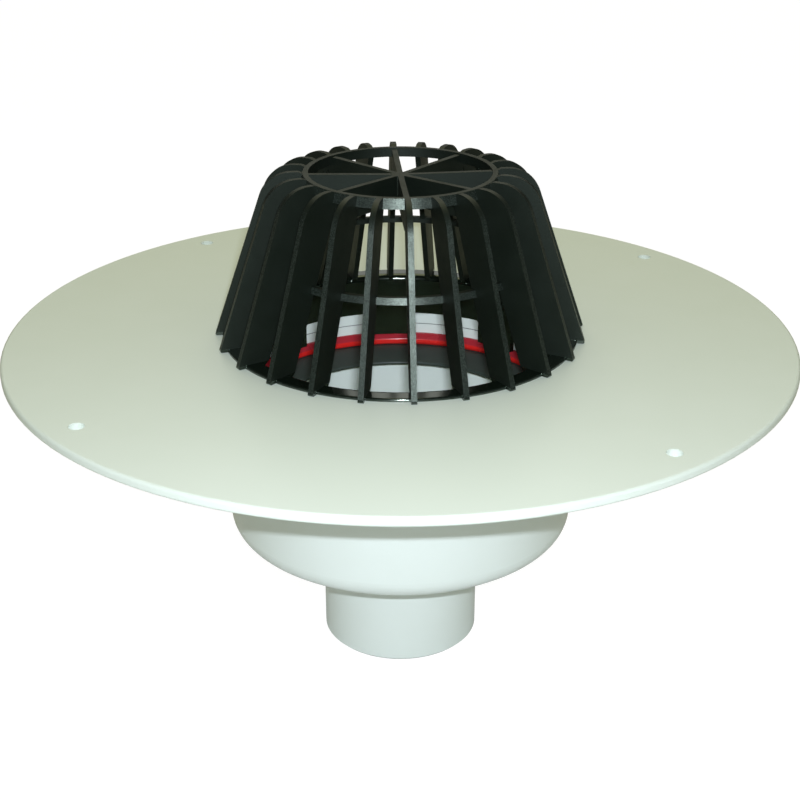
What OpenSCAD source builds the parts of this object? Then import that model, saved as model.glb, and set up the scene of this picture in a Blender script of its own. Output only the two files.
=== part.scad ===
// Flat roof drain: a round roof flange with a collar, a deep sump bowl with its outlet,
// a lip seal under a red clamping ring, and a loose finned leaf guard.
// Millimetres, +Z up. The origin is the centre of the outlet's open lower end.

/* [Roof flange] */
// Diameter of the round flange that the roof sheet is bonded to
flange_d = 375; // [360:1:460]
// Thickness of the flange plate
flange_t = 4.5; // [4:0.1:8]
// Rounding of the flange's outer rim
flange_rim_r = 1.5; // [0.3:0.1:1.9]
// Distance of the fixing holes' centres from the flange's rim
fixing_inset = 14.5; // [8:0.5:50]
// Diameter of each fixing hole
fixing_d = 7; // [3:0.5:12]
// Number of fixing holes
fixing_count = 4; // [3:1:12]
// Depth of the collar's lower edge below the flange's top
collar_depth = 27.3; // [22:0.1:31]
// Wall of the collar
collar_t = 2.4; // [1.6:0.1:3]
// Depth of the groove under the flange that takes the bowl's rim
rim_seat = 1; // [0.5:0.1:2]

/* [Sump bowl] */
// Outer diameter of the bowl
bowl_d = 170; // [160:1:200]
// Wall of the bowl
bowl_t = 3; // [2:0.1:5]
// Height of the bowl from its underside to the flange
bowl_h = 96.5; // [75:0.5:140]
// Outer rounding between the bowl's wall and its floor
bowl_corner_r = 10; // [5:0.5:20]
// Thickness of the bowl's floor at its outer edge
floor_t = 3.5; // [2.5:0.1:6]
// Fall of the inner floor towards the outlet
floor_fall = 0.8; // [0:0.1:1.5]
// Outer diameter of the outlet
outlet_d = 78; // [60:1:90]
// Wall of the outlet
outlet_t = 3; // [2:0.1:5]
// Length of the outlet below the bowl
outlet_l = 62.5; // [40:0.5:90]
// Fillet between the outlet and the bowl, and rounding of the outlet's mouth
outlet_fillet_r = 3; // [1:0.1:4]
// Lead-in chamfer round the outlet's lower end
outlet_chamfer = 1.5; // [0.3:0.1:1.8]

/* [Lip seal and clamping ring] */
// Depth of the top of the clamping ring below the flange's top
clamp_depth = 33.3; // [33:0.1:40]
// Height of the clamping ring
clamp_h = 6; // [4:0.5:8]
// Width of the clamping ring, from the bowl's wall inwards
clamp_w = 4; // [3:0.1:5]
// Thickness of the seal's heel, which is held under the clamping ring
heel_t = 3; // [2:0.1:4]
// Inner diameter of the seal's lip
lip_d = 128; // [110:1:136]
// Drop of the lip's edge below the underside of the clamping ring
lip_drop = 6; // [2:0.5:10]
// Thickness of the lip
lip_t = 2; // [1.4:0.1:2.6]
// Height of the ledge in the bowl that carries the seal
ledge_h = 4; // [2.5:0.5:8]
// Width of the ledge
ledge_w = 3.2; // [2:0.1:4]

/* [Leaf guard] */
// Number of fins
fin_count = 24; // [16:8:24]
// Thickness of a fin, a ring web or a rib
fin_t = 2.6; // [1.8:0.1:3.4]
// Diameter over the feet of the fins
guard_d = 177.6; // [174:0.2:190]
// Height of the fins above the flange
guard_h = 79; // [72:0.5:84]
// Lean of the fins' outer edges from the vertical, in degrees
fin_lean = 19.1; // [15:0.1:20]
// Radius of the fins' rounded shoulders
shoulder_r = 16; // [8:0.5:18]
// Rounding of the fins' toes
toe_r = 0.8; // [0.4:0.1:2]
// Diameter over which the fins' tops are level
crown_d = 94; // [93:0.2:95]
// Fall of the fins' tops from there to the top ring
crown_fall = 0.6; // [0.3:0.1:2]
// Radial thickness of the rings
ring_t = 2.5; // [1.5:0.1:3.5]
// Outer diameter of the top ring
top_ring_d = 90; // [76:1:94]
// Height of the top ring
top_ring_h = 4.5; // [3:0.5:8]
// Outer diameter of the middle ring
mid_ring_d = 122; // [114:1:126]
// Height of the middle ring
mid_ring_h = 3; // [2.5:0.1:6]
// Height of the middle ring's underside above the flange
mid_ring_z = 35.6; // [26:0.1:42]
// Number of ribs that carry the hub
rib_count = 8; // [4:4:8]
// Depth of the ribs
rib_h = 14; // [8:0.5:18]
// Drop of the ribs' upper edges below the top ring
rib_drop = 0.6; // [0.3:0.1:3]
// Fall of the ribs' upper edges from there to the hub
hub_fall = 0.8; // [0:0.1:4]
// Diameter of the hub where the ribs meet
hub_d = 8; // [6:0.5:14]
// Diameter of the lip that lies on the flange
base_lip_d = 170; // [164:0.5:173]
// Thickness of that lip
base_lip_t = 1.4; // [0.8:0.1:1.4]
// Rounding of the lip's inner edge, where it turns down into the skirt
lip_edge_r = 3; // [1:0.1:3]
// Wall of the skirt that hangs in the collar
skirt_t = 2; // [1.4:0.1:2.6]
// Depth of the skirt below the flange's top
skirt_depth = 19.7; // [14:0.1:24]
// Number of tabs below the skirt
tab_count = 8; // [4:4:8]
// Width of a tab
tab_w = 22; // [12:0.5:24]
// Fillet between the tabs and the skirt
tab_root_r = 1.5; // [1:0.5:8]
// Depth of the tabs below the flange's top
tab_depth = 31.8; // [28:0.1:34]
// Turn of the leaf guard from the fixing holes' axes, in degrees
guard_turn = 9.7; // [0:0.1:15]

/* [Fits] */
// Radial clearance between the collar and the bowl
collar_gap = 0.2; // [0.05:0.05:0.4]
// Radial clearance between the skirt and the collar
skirt_gap = 2; // [0.3:0.1:3]
// Radial clearance between the clamping ring or the seal and the bowl
seal_gap = 0.3; // [0.1:0.05:0.4]

/* [Hidden] */
$fn = 96;
// Overlap of pieces of one moulding where they join
fuse = 0.4;
// How far a cut runs past the faces that it opens
past = 1;

// Heights above the outlet's lower end
bowl_z = outlet_l;
flange_z = bowl_z + bowl_h;
deck_z = flange_z + flange_t;
rim_z = flange_z + rim_seat;
clamp_z = deck_z - clamp_depth - clamp_h;
heel_z = clamp_z - heel_t;

// Radii of the bowl, the collar and the seal
bowl_ri = bowl_d / 2 - bowl_t;
collar_ro = bowl_ri - collar_gap;
collar_ri = collar_ro - collar_t;
outlet_ri = outlet_d / 2 - outlet_t;
seat_ro = bowl_ri - seal_gap;
clamp_ri = bowl_ri - clamp_w;

// Radii of the leaf guard
skirt_ro = collar_ri - skirt_gap;
skirt_ri = skirt_ro - skirt_t;
foot_r = guard_d / 2;
top_ring_z = guard_h - crown_fall - top_ring_h;
rib_z = top_ring_z + top_ring_h - rib_drop - rib_h;

// Height of the inner floor at a radius: it falls evenly towards the outlet
function floor_top(r) =
    bowl_z + floor_t - floor_fall * (bowl_ri - r) / (bowl_ri - outlet_ri);

// Radius of the leaf guard's inner cone at a height above the flange. The cone runs
// along the inner faces of the middle and top rings
function cage_ri(z) =
    mid_ring_d / 2 - ring_t
    + (top_ring_d - mid_ring_d) / 2 * (z - mid_ring_z - mid_ring_h / 2)
    / (top_ring_z + top_ring_h / 2 - mid_ring_z - mid_ring_h / 2);

// Rounds the corner b between a and c: the wedge outside an arc of radius r, to cut from
// an outer corner or to add in an inner one
module corner_wedge(a, b, c, r) {
    u = (a - b) / norm(a - b);
    v = (c - b) / norm(c - b);
    half = acos(u * v) / 2;
    mid = (u + v) / norm(u + v);
    difference() {
        polygon([b + u * r / tan(half), b + mid * r / sin(half), b + v * r / tan(half),
                 b - mid * 0.2]);
        translate(b + mid * r / sin(half)) circle(r = r);
    }
}

// Round plate with eased rims, a collar and a groove under its opening, and a circle of
// fixing holes
module roof_flange() {
    ro = flange_d / 2;
    rim_ro = bowl_d / 2 + collar_gap;
    color([0.88, 0.91, 0.87])
    difference() {
        rotate_extrude()
        difference() {
            polygon([
                [collar_ri, deck_z - collar_depth], [collar_ro, deck_z - collar_depth],
                [collar_ro, rim_z], [rim_ro, rim_z], [rim_ro, flange_z],
                [ro, flange_z], [ro, deck_z], [collar_ri, deck_z]
            ]);
            corner_wedge([collar_ri, deck_z], [ro, deck_z], [ro, flange_z], flange_rim_r);
            corner_wedge([rim_ro, flange_z], [ro, flange_z], [ro, deck_z], flange_rim_r);
        }
        for (i = [0:fixing_count - 1])
            rotate(360 * (i + 0.5) / fixing_count)
            translate([ro - fixing_inset, 0, flange_z - past])
            cylinder(d = fixing_d, h = flange_t + 2 * past);
    }
}

// Deep round bowl with a rounded foot, an inner ledge for the seal and the outlet
module sump_bowl() {
    ro = bowl_d / 2;
    outlet_ro = outlet_d / 2;
    foot = [ro, bowl_z];
    neck = [outlet_ro, bowl_z];
    heel = [bowl_ri, floor_top(bowl_ri)];
    mouth = [outlet_ri, floor_top(outlet_ri)];
    color([0.87, 0.93, 0.91])
    rotate_extrude()
    difference() {
        union() {
            polygon([
                [outlet_ri, 0], [outlet_ro - outlet_chamfer, 0], [outlet_ro, outlet_chamfer],
                neck, foot, [ro, rim_z], [bowl_ri, rim_z],
                [bowl_ri, heel_z], [bowl_ri - ledge_w, heel_z],
                [bowl_ri - ledge_w, heel_z - ledge_h / 2], [bowl_ri, heel_z - ledge_h],
                heel, mouth
            ]);
            corner_wedge([outlet_ro, 0], neck, foot, outlet_fillet_r);
            corner_wedge([bowl_ri, rim_z], heel, mouth, bowl_corner_r - bowl_t);
        }
        corner_wedge(neck, foot, [ro, rim_z], bowl_corner_r);
        corner_wedge([outlet_ri, 0], mouth, heel, outlet_fillet_r);
    }
}

// Red ring that holds the seal down: bevelled above, with a round nose inside
module clamp_ring() {
    top = clamp_z + clamp_h;
    nose_r = clamp_w * 0.45;
    crest = [seat_ro - clamp_w * 0.35, top];
    toe = [clamp_ri, clamp_z];
    brow = [clamp_ri, clamp_z + clamp_h * 0.55];
    color([0.75, 0.12, 0.13])
    rotate_extrude()
    difference() {
        polygon([toe, [seat_ro, clamp_z], [seat_ro, top], crest, brow]);
        corner_wedge(brow, toe, [seat_ro, clamp_z], nose_r);
        corner_wedge(crest, brow, toe, nose_r);
    }
}

// Rubber seal: a flat heel on the bowl's ledge and a lip that slopes in and down
module lip_seal() {
    tip_r = lip_t / 2;
    tip = [lip_d / 2 + tip_r, clamp_z - lip_drop + tip_r];
    root = bowl_ri - ledge_w - lip_t;
    slope = atan2(clamp_z - tip_r - tip[1], root - tip[0]);
    side = [-sin(slope), cos(slope)] * tip_r;
    color([0.16, 0.18, 0.17])
    rotate_extrude() {
        polygon([
            tip + side, tip - side,
            [root, heel_z], [seat_ro, heel_z], [seat_ro, clamp_z], [root, clamp_z]
        ]);
        translate(tip) circle(r = tip_r);
    }
}

// Outline of a fin, radius against height: foot, leaning edge, round shoulder, and the
// inner edge along the cage's cone
module fin_outline() {
    foot = [foot_r, 0];
    shoulder = [foot_r - guard_h * tan(fin_lean), guard_h];
    crown = [crown_d / 2, guard_h];
    hip = [top_ring_d / 2 - ring_t / 2, rib_z + rib_h];
    difference() {
        polygon([
            foot, shoulder, crown, hip,
            [cage_ri(top_ring_z) + fuse, top_ring_z],
            [cage_ri(base_lip_t), base_lip_t],
            [skirt_ri + fuse, base_lip_t - skirt_ri - fuse + cage_ri(base_lip_t)],
            [skirt_ri + fuse, 0]
        ]);
        corner_wedge([0, 0], foot, shoulder, toe_r);
        corner_wedge(foot, shoulder, crown, shoulder_r);
    }
}

// Two opposite fins with the rib between them, in one outline
module rib_outline() {
    end = top_ring_d / 2 - fuse;
    eye = hub_d / 2 + fuse;
    top = rib_z + rib_h;
    fin_outline();
    mirror([1, 0]) fin_outline();
    polygon([
        [-end, rib_z], [end, rib_z], [end, top], [eye, top - hub_fall],
        [-eye, top - hub_fall], [-end, top]
    ]);
}

// One ring of the cage, with its outer diameter at the top, its lower face and its height.
// Its outer face leans like the fins
module cage_ring(d, z, h) {
    ri = d / 2 - ring_t;
    translate([0, 0, z])
    rotate_extrude()
    polygon([[ri, 0], [d / 2 + h * tan(fin_lean), 0], [d / 2, h], [ri, h]]);
}

// Lip that lies on the flange, with a round inner edge, and the skirt below it
module guard_base() {
    inner = [skirt_ri, base_lip_t];
    outer = [base_lip_d / 2, base_lip_t];
    rotate_extrude()
    difference() {
        polygon([
            [skirt_ri, -tab_depth], [skirt_ro, -tab_depth], [skirt_ro, 0],
            [base_lip_d / 2, 0], outer, inner
        ]);
        corner_wedge([skirt_ri, 0], inner, outer, lip_edge_r);
        corner_wedge(inner, outer, [base_lip_d / 2, 0], base_lip_t * 0.6);
    }
}

// Gap between two tabs below the skirt, across the gap against height
module tab_gap() {
    w = (2 * skirt_ro * sin(180 / tab_count) - tab_w) / 2;
    low = -tab_depth - past;
    difference() {
        translate([-w, low]) square([2 * w, -skirt_depth - low]);
        corner_wedge([-w, low], [-w, -skirt_depth], [w, -skirt_depth], tab_root_r);
        corner_wedge([w, low], [w, -skirt_depth], [-w, -skirt_depth], tab_root_r);
    }
}

// Loose leaf guard: fins, three rings, ribs to a hub, lip, skirt and tabs in one moulding
module leaf_guard() {
    color([0.09, 0.10, 0.09])
    translate([0, 0, deck_z])
    rotate(guard_turn)
    difference() {
        union() {
            guard_base();
            cage_ring(top_ring_d, top_ring_z, top_ring_h);
            cage_ring(mid_ring_d, mid_ring_z, mid_ring_h);
            for (i = [0:fin_count - 1])
                if (i % (fin_count / rib_count) != 0)
                    rotate([90, 0, 360 * i / fin_count])
                    translate([0, 0, -fin_t / 2])
                    linear_extrude(fin_t) fin_outline();
            for (i = [0:rib_count / 2 - 1])
                rotate([90, 0, 360 * i / rib_count])
                translate([0, 0, -fin_t / 2])
                linear_extrude(fin_t) rib_outline();
            translate([0, 0, rib_z]) cylinder(d = hub_d, h = rib_h - hub_fall);
        }
        for (i = [0:tab_count - 1])
            rotate([90, 0, 360 * (i + 0.5) / tab_count + 90])
            linear_extrude(foot_r) tab_gap();
    }
}

roof_flange();
sump_bowl();
clamp_ring();
lip_seal();
leaf_guard();
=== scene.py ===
# Flat roof drain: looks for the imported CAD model. Metres, same frame as the CAD.
import math

import bpy
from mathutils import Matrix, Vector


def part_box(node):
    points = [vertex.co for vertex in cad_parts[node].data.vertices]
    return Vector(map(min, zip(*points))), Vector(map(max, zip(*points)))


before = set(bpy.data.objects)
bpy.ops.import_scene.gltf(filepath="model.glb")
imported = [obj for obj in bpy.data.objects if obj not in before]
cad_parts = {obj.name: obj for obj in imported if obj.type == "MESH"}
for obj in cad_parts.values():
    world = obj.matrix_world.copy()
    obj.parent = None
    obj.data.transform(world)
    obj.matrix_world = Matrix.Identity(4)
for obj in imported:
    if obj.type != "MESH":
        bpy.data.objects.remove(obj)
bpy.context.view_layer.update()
scene = bpy.context.scene
scene.view_settings.view_transform = "Standard"

# ---------------------------------------------------------------- sizes from the frame
rim_r, _, deck_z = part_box("roof_flange")[1]
collar_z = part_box("roof_flange")[0][2]
bowl_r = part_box("sump_bowl")[1][0]
clamp_low, clamp_high = (corner[2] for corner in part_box("clamp_ring"))
NOSE_SHARE = 0.55                         # share of the clamping ring's height below its bevel
nose_z = clamp_low + NOSE_SHARE * (clamp_high - clamp_low)
LIP_RISE = 0.0015                         # a height just over the guard's smooth lip

# ---------------------------------------------------------------- camera
TURN = math.radians(5.82)                 # the camera stands this far from -Y towards +X
CAM_DIST = 3.7675 * rim_r
CAM_EL = 21.44                            # degrees above the flange, seen from its centre
CAM_PITCH = math.radians(24.19)
SENSOR = 36
LENS_RATIO = 1.83                         # focal length over the sensor's width
CAM_SHIFT = -0.0004375


def around(dist, el, az):
    """A point at a distance and elevation from the flange's centre, az to the right of the camera."""
    a = TURN + math.radians(az)
    e = math.radians(el)
    flat = math.cos(e) * dist
    return (math.sin(a) * flat, -math.cos(a) * flat, deck_z + math.sin(e) * dist)


cam_data = bpy.data.cameras.new("camera")
cam_data.sensor_width = SENSOR
cam_data.lens = SENSOR * LENS_RATIO
cam_data.shift_x = CAM_SHIFT
cam_data.clip_end = 50
cam = bpy.data.objects.new("camera", cam_data)
cam.location = around(CAM_DIST, CAM_EL, 0)
cam.rotation_euler = (math.pi / 2 - CAM_PITCH, 0, TURN)
scene.collection.objects.link(cam)
scene.camera = cam


# ---------------------------------------------------------------- node helpers
def node_tree(name):
    """A new material with its node tree and its Principled shader."""
    mat = bpy.data.materials.new(name)
    mat.use_nodes = True
    nt = mat.node_tree
    return mat, nt, nt.nodes["Principled BSDF"]


def add(nt, kind, **settings):
    """A new node; settings that start with in_ are values of its inputs, the others its own."""
    n = nt.nodes.new(kind)
    for k, v in settings.items():
        if k.startswith("in_"):
            n.inputs[k[3:].replace("_", " ")].default_value = v
        else:
            setattr(n, k, v)
    return n


def feed(nt, value, socket):
    """Links a socket to an input, or sets the input to a constant."""
    if isinstance(value, bpy.types.NodeSocket):
        nt.links.new(value, socket)
    else:
        socket.default_value = value


def maths(nt, op, a, b=0.0):
    """A math node; a and b are numbers or sockets."""
    n = add(nt, "ShaderNodeMath", operation=op)
    feed(nt, a, n.inputs[0])
    feed(nt, b, n.inputs[1])
    return n.outputs[0]


def vector(nt, op, a, b=(0, 0, 0)):
    """A vector math node; a and b are vectors or sockets."""
    n = add(nt, "ShaderNodeVectorMath", operation=op)
    feed(nt, a, n.inputs[0])
    feed(nt, b, n.inputs[1])
    return n.outputs["Value" if op in ("LENGTH", "DOT_PRODUCT") else "Vector"]


def height(nt, vec):
    """The Z part of a vector."""
    n = add(nt, "ShaderNodeSeparateXYZ")
    feed(nt, vec, n.inputs[0])
    return n.outputs["Z"]


def ramp(nt, value, low, high, to_low=0.0, to_high=1.0):
    """Maps low..high to to_low..to_high and holds the ends; any of them may be a socket."""
    n = nt.nodes.new("ShaderNodeMapRange")
    feed(nt, value, n.inputs["Value"])
    feed(nt, low, n.inputs["From Min"])
    feed(nt, high, n.inputs["From Max"])
    feed(nt, to_low, n.inputs["To Min"])
    feed(nt, to_high, n.inputs["To Max"])
    return n.outputs["Result"]


def choose(nt, mask, off, on):
    """off where the mask is 0 and on where it is 1."""
    return ramp(nt, mask, 0.0, 1.0, off, on)


def blend(nt, fac, a, b):
    """Mixes two colours, each a tuple or a socket."""
    n = add(nt, "ShaderNodeMix", data_type="RGBA")
    nt.links.new(fac, n.inputs[0])
    for i, v in ((6, a), (7, b)):
        feed(nt, (*v, 1) if isinstance(v, tuple) else v, n.inputs[i])
    return n.outputs[2]


def noise(nt, place, scale, detail=2.0, stretch=None):
    """Noise over the object's coordinates, which may be stretched first."""
    n = add(nt, "ShaderNodeTexNoise", in_Scale=scale, in_Detail=detail)
    feed(nt, vector(nt, "MULTIPLY", place, stretch) if stretch else place, n.inputs["Vector"])
    return n.outputs["Fac"]


def bump(nt, relief, strength, distance, under=None):
    """Bump from a relief; under is the normal of a coarser bump below it."""
    n = add(nt, "ShaderNodeBump", in_Distance=distance)
    feed(nt, relief, n.inputs["Height"])
    feed(nt, strength, n.inputs["Strength"])
    if under:
        feed(nt, under, n.inputs["Normal"])
    return n.outputs["Normal"]


def radial(nt, place):
    """Distance from the axis, height, and how far the surface faces outward and upward."""
    flat = vector(nt, "MULTIPLY", place, (1, 1, 0))
    normal = add(nt, "ShaderNodeNewGeometry").outputs["True Normal"]
    outward = vector(nt, "DOT_PRODUCT", vector(nt, "NORMALIZE", flat), normal)
    return vector(nt, "LENGTH", flat), height(nt, place), outward, height(nt, normal)


def seen_by(nt, ray, shown, otherwise, share=1.0):
    """Shows one shader to a kind of ray, by that share, and another to the rest."""
    fac = maths(nt, "MULTIPLY", add(nt, "ShaderNodeLightPath").outputs[ray], share)
    n = add(nt, "ShaderNodeMixShader")
    for i, value in enumerate((fac, otherwise, shown)):
        nt.links.new(value, n.inputs[i])
    return n.outputs[0]


# ---------------------------------------------------------------- materials
IOR = 1.49
BLUR = 0.0004                             # half width of a painted edge, and of the painted shadow line at the collar's joint
# painted shadow: colour of the thin dark line at the collar's joint
COLLAR_SHADOW_DARK = (0.12, 0.13, 0.14)


def plastic(name, base, tint, rough, rough_var, grain, grain_depth, wave=0.0, spec=0.5,
            painted_shade=None, painted_light_inside=None):
    """Moulded plastic: a colour that drifts a little towards tint, uneven gloss, and a fine grain.

    The (z, colour) argument paints shadow: a darker colour above that height. The (radius, z,
    colour) argument paints light: a lighter colour on the surfaces nearer the axis and below z
    that face inward or up, and a dark shadow line at the collar's joint on them.
    """
    mat, nt, bsdf = node_tree(name)
    bsdf.inputs["Specular IOR Level"].default_value = spec
    bsdf.inputs["IOR"].default_value = IOR
    place = add(nt, "ShaderNodeTexCoord").outputs["Object"]
    colour = blend(nt, noise(nt, place, 14.0, 3.0), base, tint)
    # painted shade: everything above a height gets a darker colour
    if painted_shade:
        painted_shade_z, painted_shade_colour = painted_shade
        above = ramp(nt, height(nt, place), painted_shade_z - BLUR, painted_shade_z + BLUR)
        colour = blend(nt, above, colour, painted_shade_colour)
    # painted light: inward and upward faces inside the drain get a lighter colour, to make up for the
    # little lamp light that gets in
    if painted_light_inside:
        inside_r, inside_z, painted_light_colour = painted_light_inside
        r, z, outward, upward = radial(nt, place)
        within = maths(nt, "MULTIPLY", maths(nt, "LESS_THAN", r, inside_r),
                       maths(nt, "LESS_THAN", z, inside_z))
        within = maths(nt, "MULTIPLY", within, maths(nt, "LESS_THAN", outward, upward))
        colour = blend(nt, within, colour, painted_light_colour)
        # painted shadow: a thin dark line at the collar's lower edge, where it meets the bowl
        off_shadow_line = maths(nt, "ABSOLUTE", maths(nt, "SUBTRACT", z, collar_z))
        shadow_line = ramp(nt, off_shadow_line, BLUR / 2, BLUR, 1.0, 0.0)
        colour = blend(nt, maths(nt, "MULTIPLY", shadow_line, within), colour, COLLAR_SHADOW_DARK)
    feed(nt, colour, bsdf.inputs["Base Color"])
    gloss = ramp(nt, noise(nt, place, 60.0, 4.0), 0.25, 0.75, rough - rough_var, rough + rough_var)
    feed(nt, gloss, bsdf.inputs["Roughness"])
    under = bump(nt, noise(nt, place, 30.0, 1.0), 0.5, wave) if wave else None
    feed(nt, bump(nt, noise(nt, place, grain), 0.6, grain_depth, under), bsdf.inputs["Normal"])
    return mat


def guard_black(name):
    """Black moulding: fine grain on the fins, greyer outward faces, and a smooth lip."""
    mat, nt, bsdf = node_tree(name)
    bsdf.inputs["IOR"].default_value = IOR
    bsdf.inputs["Specular Tint"].default_value = (0.85, 1.0, 0.85, 1)
    place = add(nt, "ShaderNodeTexCoord").outputs["Object"]
    _, z, outward, _ = radial(nt, place)
    lip = maths(nt, "LESS_THAN", z, deck_z + LIP_RISE)
    edge = ramp(nt, outward, 0.7, 0.93)
    speck = ramp(nt, noise(nt, place, 2300.0, 1.0), 0.38, 0.64)

    dark = blend(nt, noise(nt, place, 40.0, 3.0), (0.0028, 0.005, 0.003), (0.0055, 0.009, 0.006))
    grey = blend(nt, speck, (0.0035, 0.0055, 0.0042), (0.017, 0.024, 0.020))
    feed(nt, blend(nt, edge, dark, grey), bsdf.inputs["Base Color"])

    level = choose(nt, edge, 0.45, choose(nt, speck, 0.42, 1.0))
    feed(nt, choose(nt, lip, level, 1.0), bsdf.inputs["Specular IOR Level"])

    drift = noise(nt, place, 90.0, 3.0)
    face_rough = ramp(nt, drift, 0.3, 0.7, 0.50, 0.60)
    edge_rough = ramp(nt, drift, 0.3, 0.7, 0.38, 0.46)
    feed(nt, choose(nt, lip, choose(nt, edge, face_rough, edge_rough), 0.14), bsdf.inputs["Roughness"])

    streaks = bump(nt, noise(nt, place, 1.0, 2.0, (30.0, 30.0, 2600.0)), 0.2, 0.00003)
    grain = choose(nt, lip, choose(nt, edge, 0.5, 0.22), 0.03)
    feed(nt, bump(nt, noise(nt, place, 1900.0), grain, 0.0001, streaks), bsdf.inputs["Normal"])
    return mat


INSIDE_PAINTED_LIGHT = (0.89, 0.98, 0.92)               # painted light: lighter than outside, to make up for the little lamp light that gets in
FINISH = {
    "roof_flange": plastic(
        "white_flange", (0.76, 0.84, 0.785), (0.74, 0.82, 0.755), 0.36, 0.06, 900, 0.00002,
        spec=0.3, painted_light_inside=(bowl_r + 0.0001, deck_z - 0.0005, INSIDE_PAINTED_LIGHT)),
    "sump_bowl": plastic(
        "white_bowl", (0.745, 0.815, 0.78), (0.735, 0.805, 0.765), 0.2, 0.05, 700, 0.00001,
        wave=0.0001, painted_light_inside=(bowl_r - 0.0005, deck_z, INSIDE_PAINTED_LIGHT)),
    # painted shade: the clamping ring's top bevel, above its nose, is a darker red
    "clamp_ring": plastic(
        "red_ring", (0.92, 0.026, 0.022), (0.84, 0.022, 0.020), 0.26, 0.05, 800, 0.00002,
        painted_shade=(nose_z, (0.50, 0.03, 0.045))),
    "lip_seal": plastic(
        "rubber_seal", (0.040, 0.058, 0.048), (0.054, 0.072, 0.062), 0.5, 0.08, 1200, 0.00004),
    "leaf_guard": guard_black("black_guard"),
}
for node, mat in FINISH.items():
    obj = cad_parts[node]
    obj.data.materials.clear()
    obj.data.materials.append(mat)

# ---------------------------------------------------------------- floor
FLOOR_SIZE = 12
FLOOR_DROP = 0.0005                       # keeps the floor clear of the outlet's end
FLOOR_GLOW = 1.21
FLOOR_SHARE = 0.8                         # the rest of what the camera sees is the lit floor
bpy.ops.mesh.primitive_plane_add(size=FLOOR_SIZE, location=(0, 0, -FLOOR_DROP))
floor = bpy.context.object
floor.name = "floor"
mat, nt, bsdf = node_tree("pale_floor")
bsdf.inputs["Base Color"].default_value = (0.7, 0.7, 0.7, 1)
bsdf.inputs["Roughness"].default_value = 0.9
bsdf.inputs["Specular IOR Level"].default_value = 0.0
glow = add(nt, "ShaderNodeEmission", in_Color=(1, 1, 1, 1), in_Strength=FLOOR_GLOW)
both = seen_by(nt, "Is Camera Ray", glow.outputs[0], bsdf.outputs[0], FLOOR_SHARE)
feed(nt, both, nt.nodes["Material Output"].inputs["Surface"])
floor.data.materials.append(mat)

# ---------------------------------------------------------------- world
# The camera sees white. Reflections see a dim room with one bright opening behind the
# drain. All other rays see the yellowish fill that lights the object.
FILL = 0.305
ROOM_DIM = 0.045
world = bpy.data.worlds.new("world")
scene.world = world
world.use_nodes = True
nt = world.node_tree
fill = nt.nodes["Background"]
fill.inputs["Color"].default_value = (1.0, 0.98, 0.67, 1)
fill.inputs["Strength"].default_value = FILL
white = add(nt, "ShaderNodeBackground", in_Color=(1, 1, 1, 1), in_Strength=1.0)
room = add(nt, "ShaderNodeBackground", in_Color=(1.0, 1.0, 0.95, 1))
sky = add(nt, "ShaderNodeTexCoord").outputs["Generated"]
rise = height(nt, sky)
behind = vector(nt, "DOT_PRODUCT", sky, (-math.sin(TURN), math.cos(TURN), 0))
opening = maths(nt, "MULTIPLY", ramp(nt, rise, 0.28, 0.33), ramp(nt, rise, 0.6, 0.52))
opening = maths(nt, "MULTIPLY", opening, ramp(nt, behind, 0.74, 0.82))
feed(nt, choose(nt, opening, ROOM_DIM, 1.0), room.inputs["Strength"])
unseen = seen_by(nt, "Is Glossy Ray", room.outputs[0], fill.outputs[0])
both = seen_by(nt, "Is Camera Ray", white.outputs[0], unseen)
feed(nt, both, nt.nodes["World Output"].inputs["Surface"])

# ---------------------------------------------------------------- lamps
AIM = (0, 0, 0.14)


def lamp(name, where, size, watts, colour):
    """A rectangular lamp that looks at AIM."""
    data = bpy.data.lights.new(name, "AREA")
    data.shape = "RECTANGLE"
    data.size, data.size_y = size
    data.energy = watts
    data.color = colour
    obj = bpy.data.objects.new(name, data)
    obj.location = where
    x, y, z = (a - b for a, b in zip(AIM, where))
    obj.rotation_euler = (math.atan2(math.hypot(x, y), -z), 0, math.atan2(y, x) - math.pi / 2)
    scene.collection.objects.link(obj)


# The key stands just in front of the camera. It is small, so its shadows are crisp
lamp("key", around(0.6625, 22.97, 0.6), (0.024, 0.008), 3.2, (0.94, 1.0, 1.11))
lamp("overhead", around(0.75, 60, 180), (0.5, 0.5), 1.25, (1.0, 0.95, 0.62))
